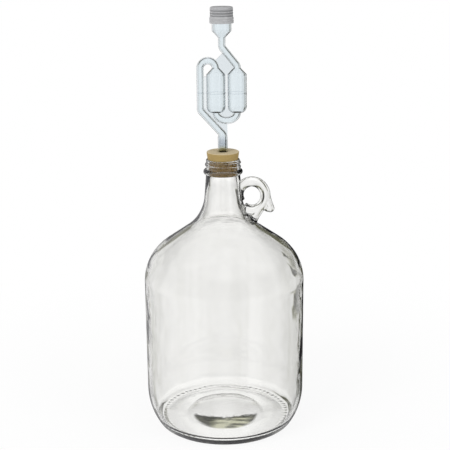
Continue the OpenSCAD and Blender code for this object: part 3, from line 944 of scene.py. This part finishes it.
class AirlockShape:
    """The line that the airlock's passage follows, with its girth, from the stem to the cup."""

    stem_length = 0.037
    elbow_rise = 0.0027  # from the stem's top to the corner of the lower slanted tube
    elbow_radius = 0.0068
    elbow_run = 0.004  # the stem keeps its girth to this far below its top
    bulb_rise = 0.025  # from the stem's top to the foot of the bulbs
    bulb_side = 0.0325  # height of a bulb, less two slanted ends
    bulb_middle = 0.00435  # x of the line halfway between the bulbs
    bulb_gap = 0.0023  # between the two bulbs
    bowl_radius = 0.0052
    bowl_height = 0.0066
    tube_gap = 0.0025  # between the side tube and the first bulb
    root_stand = 0.0003  # how much wider a slanted end starts than the tube
    corner_rise = 0.0022  # from the bulbs' foot to the side tube's lower corner
    upper_rise = 0.0025  # from the bulbs' top to the upper slanted tube
    upper_drop = 0.0096  # from the foot of the cup to that tube's other corner
    u_depth = 0.0081
    cup_rise = 0.031  # from the bulbs' top to the foot of the cup
    line_rise = 0.020  # from the bulbs' foot to the fill line
    end_slope = radians(47)
    web_turn = radians(47)  # where the upper web meets the arch
    web_lap = 0.002  # how far a web stops short of, or runs into, what it joins
    overrun = 0.002  # how far the bore runs on past the open ends

    def __init__(self, s):
        self.s = s
        self.stem_foot = AIRLOCK_BOX[0].z
        self.cup_top = AIRLOCK_BOX[1].z
        self.stem_top = self.stem_foot + self.stem_length
        self.root = s.tube_radius + self.root_stand
        self.end_h = (s.bulb_radius - self.root) * tan(self.end_slope)
        self.bulb_foot = self.stem_top + self.bulb_rise
        self.bulb_top = self.bulb_foot + self.bulb_side + 2 * self.end_h
        self.cup_foot = self.bulb_top + self.cup_rise
        self.first_x = self.bulb_middle - self.bulb_gap / 2 - s.bulb_radius
        self.second_x = self.bulb_middle + self.bulb_gap / 2 + s.bulb_radius
        self.side_x = self.first_x - s.bulb_radius - self.tube_gap - s.tube_radius
        self.arch = ((self.first_x + self.side_x) / 2, self.bulb_top)
        self.arch_radius = (self.first_x - self.side_x) / 2
        self.u_bend = (self.bulb_middle, self.bulb_foot)
        self.u_radius = (self.second_x - self.first_x) / 2
        self.side_corner = (self.side_x, self.bulb_foot + self.corner_rise)
        self.high_corner = (self.second_x, self.bulb_top + self.upper_rise)
        self.up_corner = (0.0, self.cup_foot - self.upper_drop)

    def bend(self, a, b, c, radius, steps=10):
        """Points round the corner b of the path a, b, c."""
        u = (Vector(b) - Vector(a)).normalized()
        w = (Vector(c) - Vector(b)).normalized()
        turn = angle_between(u, w)
        side = 1 if u.x * w.y - u.y * w.x > 0 else -1
        start = Vector(b) - u * (radius * tan(turn / 2))
        middle = start + side * radius * Vector((-u.y, u.x))
        first = atan2(start.y - middle.y, start.x - middle.x)
        return [spot(middle, radius, first + side * turn * i / steps) for i in range(steps + 1)]

    def fill_line(self):
        """The fill line of a bulb, as (radius, height) points, and its height."""
        s = self.s
        z = self.bulb_foot + self.line_rise
        foot, face = 0.0005, 0.0002  # half the height of the line at the bulb and at its face
        flat, raised = s.bulb_radius, s.bulb_radius + s.fill_line
        return z, [(flat, z - foot), (raised, z - face), (raised, z + face), (flat, z + foot)]

    def bulb(self, x):
        """Stations up through a bulb: bowl, side with its fill line, and rounded shoulder."""
        s = self.s
        tube = s.tube_radius
        mouth = [(tube, self.bulb_foot - 0.0006), (tube + 0.0001, self.bulb_foot - 0.0001)]
        middle = (s.bulb_radius - self.bowl_radius, self.bulb_foot + self.bowl_height)
        bowl = arc(middle, self.bowl_radius, -90, 0, 10, self.bowl_height)
        shoulder = rounded(
            [
                (s.bulb_radius, self.bulb_foot + self.bowl_height, 0),
                (s.bulb_radius, self.bulb_top - self.end_h, s.corner_radius),
                (self.root, self.bulb_top, 0.0004),
                (tube, self.bulb_top + 0.0006, 0),
            ],
            steps=7,
        )
        profile = divided(mouth + bowl + shoulder[1:], 0.0035)
        line_z, line = self.fill_line()
        profile = [p for p in profile if abs(p[1] - line_z) > 0.0006] + line
        return [(x, z, r) for r, z in sorted(profile, key=lambda p: p[1])]

    def stations(self, inner):
        """All stations of the passage, a little longer at its open ends when it is the bore."""
        s = self.s
        tube = s.tube_radius

        def along(points):
            return [(x, z, tube) for x, z in points]

        over = self.overrun if inner else 0
        foot = (0.0, self.stem_foot - over)
        elbow = (0.0, self.stem_top + self.elbow_rise)
        side_top = (self.side_x, self.bulb_top)
        out = [(0, foot[1], s.stem_radius), (0, self.stem_top - self.elbow_run, s.stem_radius)]
        corner = self.bend(foot, elbow, self.side_corner, self.elbow_radius)
        narrow = (s.stem_radius - tube) / (len(corner) - 1)
        out += [(x, z, s.stem_radius - narrow * i) for i, (x, z) in enumerate(corner)]
        out += along(self.bend(elbow, self.side_corner, side_top, s.bend_radius))
        out += along(arc(self.arch, self.arch_radius, 180, 18, 18))
        out += self.bulb(self.first_x)[::-1]
        out += along(arc(self.u_bend, self.u_radius, 192, 348, 26, self.u_depth))
        out += self.bulb(self.second_x)
        bulb_end = (self.second_x, self.bulb_top)
        out += along(self.bend(bulb_end, self.high_corner, self.up_corner, s.bend_radius))
        out += along(self.bend(self.high_corner, self.up_corner, (0, self.cup_foot), s.bend_radius))
        cup = rounded(
            [
                (tube, self.cup_foot - 0.001, 0),
                (self.root, self.cup_foot, 0.0004),
                (s.cup_radius, self.cup_foot + (s.cup_radius - self.root) * tan(self.end_slope), 0.0012),
                (s.cup_radius, self.cup_top + over, 0),
            ],
            steps=6,
        )
        out += [(0.0, z, r) for r, z in divided(cup, 0.004)]
        return [(x, 0.0, z, r) for x, z, r in out]

    def webs(self):
        """Outlines of the plates, as thick as the web, between the tubes and bulbs."""
        s = self.s
        foot = self.bulb_foot + self.end_h
        side_top = self.bulb_top - self.end_h - self.web_lap
        corner_z = self.side_corner[1]
        near = spot(self.arch, self.arch_radius + s.tube_radius / 2, self.web_turn)
        low = Vector(self.up_corner)
        slant = low + 0.005 * (Vector(self.high_corner) - low).normalized()
        upper = [
            (self.first_x, self.bulb_top - 0.001),
            near,
            tuple(slant),
            (self.second_x, self.bulb_top),
            (self.second_x, foot),
            (self.first_x, foot),
        ]
        under = arc(self.u_bend, self.u_radius, 180, 360, 18, self.u_depth)
        under += [(self.second_x, self.bulb_foot + 0.006), (self.first_x, self.bulb_foot + 0.006)]
        side = [
            self.side_corner,
            (self.first_x, corner_z),
            (self.first_x, side_top),
            (self.side_x, side_top),
        ]
        lower = [
            self.side_corner,
            (0.0, self.stem_top),
            (s.stem_radius, self.stem_top),
            (s.stem_radius, self.bulb_foot - self.u_radius),
            (self.first_x, self.bulb_foot + self.web_lap),
            (self.first_x, foot),
        ]
        return [upper, under, side, lower]


class FERMENTER_OT_airlock_body(Operator):
    """Build the clear airlock: stem, side tube, two bulbs, bends, webs and filling cup"""

    bl_idname = "fermenter.airlock_body"
    bl_label = "Airlock body"

    def execute(self, context):
        s = context.scene.airlock_settings
        shape = AirlockShape(s)
        material = airlock_plastic_material(s)
        tree = swept_rod_tree()
        body = path_object("airlock_tube", shape.stations(inner=False))
        bore = path_object("airlock_bore", shape.stations(inner=True))
        for piece, inset in ((body, 0.0), (bore, s.wall)):
            run_tree(piece, tree, Sides=56, Inset=inset, Material=material)
            bm = bmesh.new()
            bm.from_mesh(piece.data)
            fill(piece.data, bm)
        plates = [plate("web_%d" % i, outline, s.web) for i, outline in enumerate(shape.webs())]
        combine(body, plates, "UNION")
        combine(body, [bore], "DIFFERENCE")
        smooth(body, 40)
        place_piece(body, material, "airlock", "airlock_body")
        return {"FINISHED"}


# Cap


def groove_corners(radius, height, depth):
    """Corners of a groove round the cap, for a profile of its outside."""
    edge, bottom = 0.0002, 0.0001
    return [
        (radius, height - depth, edge),
        (radius - depth, height, bottom),
        (radius, height + depth, edge),
    ]


class FERMENTER_OT_airlock_cap(Operator):
    """Build the grooved push-on cap with its vent holes"""

    bl_idname = "fermenter.airlock_cap"
    bl_label = "Airlock cap"

    def execute(self, context):
        s = context.scene.cap_settings
        material = cap_plastic_material(s)
        low, high = CAP_BOX[0].z, CAP_BOX[1].z
        band, upper = s.band_radius, s.band_radius - s.step
        dish = high - 0.0003
        heights = [low + FIRST_GROOVE + GROOVE_SPACING * i for i in range(4)]
        outer = [(s.bore_radius, low, 0.0002), (band, low, 0.0005)]
        for z in heights[:2]:
            outer += groove_corners(band, z, s.groove)
        # The band's upper groove ends in the step up to the narrower part
        outer[-1] = (upper, low + s.band_height + s.step, 0.0002)
        for z in heights[2:]:
            outer += groove_corners(upper, z, s.groove)
        outer += [(upper, high, 0.0016), (upper - 0.0035, high, 0.0004), (upper - 0.0040, dish, 0.0004)]
        ceiling = high - s.top
        inner = [(0.0, ceiling, 0.0), (s.bore_radius, ceiling, 0.0006), (s.bore_radius, low, 0.0)]
        profile = rounded([(s.bore_radius, ceiling, 0.0)] + outer + [(0.0, dish, 0.0)], steps=4)[1:]
        profile += rounded(inner, steps=4)[:-1]
        cap = revolve("airlock_cap_body", profile + profile[:1], 120)
        pins = grown(
            "vent_pins",
            vent_tree(),
            Count=s.vents,
            Ring=s.vent_ring,
            Radius=s.vent_radius,
            Height=high - s.top / 2,
            Depth=s.top * 2,
            Material=material,
        )
        combine(cap, [pins], "DIFFERENCE")
        smooth(cap, 35)
        place_piece(cap, material, "cap", "airlock_cap")
        return {"FINISHED"}


# Stage


def dark_gaps(tree, way, up, aim, right):
    """Unlit gaps beside each of the directions that the jug is seen along, by height."""
    left = maths(tree, "SUBTRACT", pi / 2, right)

    def gap(turn, low, high, soft, dark):
        """How dark one gap is, between two turns in degrees, with soft sides."""
        rise = ramp(tree, turn, (radians(low), radians(low + soft)), 0.0, dark)
        return times(tree, rise, ramp(tree, turn, (radians(high - soft), radians(high)), 1.0, 0.0))

    def widest(*gaps):
        """Several gaps together."""
        level = 0.0
        for one in gaps:
            level = maths(tree, "MAXIMUM", one, level)
        return level

    at_heel = widest(gap(right, 17.5, 26, 2.0, 0.97), gap(left, 12, 24, 2.0, 0.90))
    at_side = widest(
        gap(right, 17.5, 26.5, 1.5, 0.93),
        gap(right, 7, 16, 4.0, 0.10),
        gap(right, 34, 40, 1.5, 0.95),
        gap(left, 9.5, 17, 2.0, 0.30),
        gap(left, 16, 24, 1.5, 0.85),
    )
    at_neck = widest(
        gap(right, 9.5, 27, 1.5, 0.99),
        gap(right, 34, 40, 1.5, 0.95),
        gap(left, 34, 40, 1.5, 0.60),
    )
    at_shoulder = widest(gap(right, 12, 27, 2.5, 0.97), gap(left, 7, 27, 5.0, 0.10))
    at_tubes = widest(gap(right, 12, 28, 4.0, 0.80), gap(left, 12, 28, 4.0, 0.75))
    mottled = ramp(tree, noise(tree, way, 6.0, 3.0, 0.6), (0.42, 0.58), 1.0, 0.4)
    # Each zone starts where the way up crosses its span
    zones = (
        (times(tree, at_side, mottled), (-0.43, -0.41)),
        (at_neck, (-0.365, -0.345)),
        (times(tree, at_shoulder, mottled), (-0.19, -0.16)),
        (at_tubes, (-0.04, 0.0)),
    )
    gaps = at_heel
    for upper, span in zones:
        meet = {"Factor": ramp(tree, up, span), "A": gaps, "B": upper}
        gaps = add(tree, "ShaderNodeMix", meet).outputs["Result"]
    gaps = times(tree, gaps, ramp(tree, up, (-0.80, -0.74)))
    # The screens that make them stand behind the jug; those at its sides are thin
    return times(tree, gaps, ramp(tree, aim[1], (0.68, 0.76), 0.40, 1.0))


def backdrop(tree, way, up, aim, right):
    """What the clear pieces show behind them: white, dimmer in places, with the dark gaps."""
    gaps = dark_gaps(tree, way, up, aim, right)
    lid = ramp(tree, maths(tree, "PINGPONG", right, pi / 4), (radians(8), radians(20)), 0.45, 0.96)
    ceiling = rest(tree, times(tree, lid, ramp(tree, up, (0.24, 0.34))))
    aside = ramp(tree, maths(tree, "PINGPONG", right, pi / 8), (radians(3), radians(9)), 1.0, 0.86)
    table = ramp(tree, up, (-0.46, -0.41), 1.12, 1.0)
    lit = times(tree, times(tree, aside, table), times(tree, rest(tree, gaps), ceiling))
    dull = maths(tree, "POWER", rest(tree, gaps), 0.25)
    return xyz(tree, lit, lit, times(tree, lit, dull))


def mirrored_light(tree, up, level, aim):
    """What the pieces mirror: soft light overhead and at the left, strips behind the camera."""
    light = ramp(tree, aim[0], (-0.75, 0.10), 0.9, 0.05)
    for turned, half, strength in ((-114, 7, 1.0), (136, 8, 0.9)):
        strip = {0: level, 1: (sin(radians(turned)), cos(radians(turned)), 0.0)}
        toward = add(tree, "ShaderNodeVectorMath", strip, operation="DOT_PRODUCT").outputs["Value"]
        span = (cos(radians(half + 4)), cos(radians(half)))
        light = maths(tree, "MAXIMUM", light, ramp(tree, toward, span, 0.0, strength))
    above = ramp(tree, up, (0.45, 0.75), 0.0, 1.2)
    below = ramp(tree, up, (-0.75, -0.35), 0.75, 0.0)
    light = maths(tree, "MAXIMUM", maths(tree, "MAXIMUM", light, above), below)
    return xyz(tree, light, times(tree, light, 0.99), times(tree, light, 1.01))


def studio_world():
    """White to the eye, plain fill for matt surfaces, and a lit backdrop with dark gaps for glass."""
    world = bpy.data.worlds.new("Studio")
    world.use_nodes = True
    tree = world.node_tree
    tree.nodes.clear()
    ray = add(tree, "ShaderNodeLightPath").outputs
    way = add(tree, "ShaderNodeTexCoord").outputs["Generated"]
    x, y, up = split(tree, way)
    level = add(tree, "ShaderNodeVectorMath", {0: xyz(tree, x, y)}, operation="NORMALIZE").outputs[0]
    aim = split(tree, level)
    # The turn from straight ahead, counted again from nought in each quarter
    right = maths(tree, "WRAP", maths(tree, "ARCTAN2", aim[0], aim[1]), pi / 2, 0.0)

    def background(colour, strength=1.0):
        return add(tree, "ShaderNodeBackground", {"Color": colour, "Strength": strength}).outputs[0]

    white = (1, 1, 1, 1)
    outer = background(white, 0.6)
    for kind, light in (
        ("Is Glossy Ray", background(mirrored_light(tree, up, level, aim))),
        ("Is Transmission Ray", background(backdrop(tree, way, up, aim, right))),
        ("Is Camera Ray", background(white)),
    ):
        outer = add(tree, "ShaderNodeMixShader", {0: ray[kind], 1: outer, 2: light}).outputs[0]
    add(tree, "ShaderNodeOutputWorld", {"Surface": outer})
    return world


def under_base(tree, place):
    """The dim mottled floor under the base: its light, and where it lies."""
    x, y, _ = split(tree, place)
    # Under the front of the domed base the floor gets no light, up to a ragged bowed edge
    centred = add(tree, "ShaderNodeVectorMath", {0: place, 1: (0.0, -0.004, 0.0)}, operation="SUBTRACT")
    rim = reach_of(tree, centred.outputs[0])
    drawn = add(tree, "ShaderNodeVectorMath", {0: place, 1: (0.35, 1.6, 1.0)}, operation="MULTIPLY")
    mottle = noise(tree, drawn.outputs[0], 110.0, 3.0)
    ragged = maths(tree, "MULTIPLY_ADD", noise(tree, place, 150.0, 2.0), 0.012, -0.0135)
    bow = maths(tree, "MULTIPLY_ADD", times(tree, x, x), 7.0, ragged)
    front = ramp(tree, maths(tree, "SUBTRACT", y, bow), (-0.003, 0.003), 1.0, 0.0)
    shade = times(tree, ramp(tree, rim, (0.0315, 0.0365), 1.0, 0.0), front)
    off_middle = maths(tree, "ABSOLUTE", maths(tree, "SUBTRACT", x, 0.006))
    centre = ramp(tree, off_middle, (0.010, 0.026), 1.3, 0.15)
    inward = ramp(tree, maths(tree, "SUBTRACT", bow, y), (0.002, 0.007), 0.10, 1.0)
    pale = times(tree, ramp(tree, mottle, (0.36, 0.62), 0.15, 1.0), times(tree, centre, inward))
    dim = mixed(tree, pale, (0.012, 0.014, 0.008), (0.66, 0.66, 0.50))
    return add(tree, "ShaderNodeEmission", {"Color": dim, "Strength": 1.0}).outputs[0], shade


def floor_material(s):
    """A white floor that keeps a soft shadow near the jug and lets glass see the backdrop."""
    material = bpy.data.materials.new("Studio floor")
    material.use_nodes = True
    tree = material.node_tree
    tree.nodes.clear()
    ray = add(tree, "ShaderNodeLightPath").outputs
    place = own_place(tree)

    def blend(share, first, second):
        return add(tree, "ShaderNodeMixShader", {0: share, 1: first, 2: second}).outputs[0]

    matt = add(tree, "ShaderNodeBsdfDiffuse", {"Color": opaque(s.floor)}).outputs[0]
    white = add(tree, "ShaderNodeEmission", {"Color": (1, 1, 1, 1), "Strength": 1.0}).outputs[0]
    share = ramp(tree, reach_of(tree, place), (0.12, 0.55), 0.90, 1.0)
    plain = blend(times(tree, ray["Is Camera Ray"], share), matt, white)
    light, shade = under_base(tree, place)
    below = blend(shade, add(tree, "ShaderNodeBsdfTransparent").outputs[0], light)
    shiny = maths(tree, "MAXIMUM", ray["Is Glossy Ray"], ray["Is Transmission Ray"])
    add(tree, "ShaderNodeOutputMaterial", {"Surface": blend(shiny, plain, below)})
    return material


def area_lamp(name, place, size, power):
    """A round lamp that points at the jug's shoulder and that glass doesn't show."""
    target = Vector((0, 0, 0.2))
    data = bpy.data.lights.new(name, "AREA")
    data.shape = "DISK"
    data.size = size
    data.energy = power
    lamp = linked(name, data)
    lamp.location = place
    lamp.visible_glossy = False
    lamp.visible_transmission = False
    lamp.rotation_euler = (target - Vector(place)).to_track_quat("-Z", "Y").to_euler()


class FERMENTER_OT_studio_stage(Operator):
    """Build the camera, the lamps, the white surround and the pale floor"""

    bl_idname = "fermenter.studio_stage"
    bl_label = "Studio stage"

    def execute(self, context):
        s = context.scene.stage_settings
        scene = context.scene
        data = bpy.data.cameras.new("Camera")
        data.sensor_width = 36.0
        data.lens = s.lens
        data.shift_x = 0.0031
        data.clip_end = 50.0
        camera = linked("Camera", data)
        turn = Matrix.Rotation(pi / 2 - s.camera_pitch, 4, "X") @ Matrix.Rotation(s.camera_roll, 4, "Z")
        camera.matrix_world = Matrix.Translation((0.0, -s.camera_distance, s.camera_height)) @ turn
        scene.camera = camera
        scene.world = studio_world()
        scene.view_settings.view_transform = "Standard"
        area_lamp("Key lamp", (-1.1, -1.2, 1.5), 1.1, 19.0)
        area_lamp("Fill lamp", (1.3, -0.9, 1.0), 1.0, 7.0)
        half = s.floor_size / 2
        bm = bmesh.new()
        corners = ((-half, -half, 0.0), (half, -half, 0.0), (half, half, 0.0), (-half, half, 0.0))
        bm.faces.new([bm.verts.new(corner) for corner in corners])
        floor = finish_mesh("studio_floor", bm)
        floor.data.materials.append(floor_material(s))
        return {"FINISHED"}


# Sidebar


class FERMENTER_PT_sidebar(Panel):
    """Sizes, colours and build steps of the fermenter"""

    bl_idname = "FERMENTER_PT_sidebar"
    bl_label = "Fermenter"
    bl_space_type = "VIEW_3D"
    bl_region_type = "UI"
    bl_category = "Fermenter"

    def draw(self, context):
        for operator, settings, _ in STEPS:
            box = self.layout.box()
            box.operator(operator.bl_idname)
            group = getattr(context.scene, settings)
            for key in group.__annotations__:
                box.prop(group, key)


STEPS = (
    (FERMENTER_OT_glass_jug, "jug_settings", JugSettings),
    (FERMENTER_OT_rubber_stopper, "stopper_settings", StopperSettings),
    (FERMENTER_OT_airlock_body, "airlock_settings", AirlockSettings),
    (FERMENTER_OT_airlock_cap, "cap_settings", CapSettings),
    (FERMENTER_OT_studio_stage, "stage_settings", StageSettings),
)
CLASSES = tuple(step[2] for step in STEPS) + tuple(step[0] for step in STEPS) + (FERMENTER_PT_sidebar,)


def register():
    """Registers the classes and hangs the settings on the scene."""
    for item in CLASSES:
        bpy.utils.register_class(item)
    for _, settings, group in STEPS:
        setattr(bpy.types.Scene, settings, PointerProperty(type=group))


def unregister():
    """Takes away what register added."""
    for _, settings, _ in STEPS:
        delattr(bpy.types.Scene, settings)
    for item in reversed(CLASSES):
        bpy.utils.unregister_class(item)


def main():
    """Registers the add-on and builds every piece."""
    register()
    bpy.ops.fermenter.studio_stage()
    bpy.ops.fermenter.glass_jug()
    bpy.ops.fermenter.rubber_stopper()
    bpy.ops.fermenter.airlock_body()
    bpy.ops.fermenter.airlock_cap()


if __name__ == "__main__":
    main()
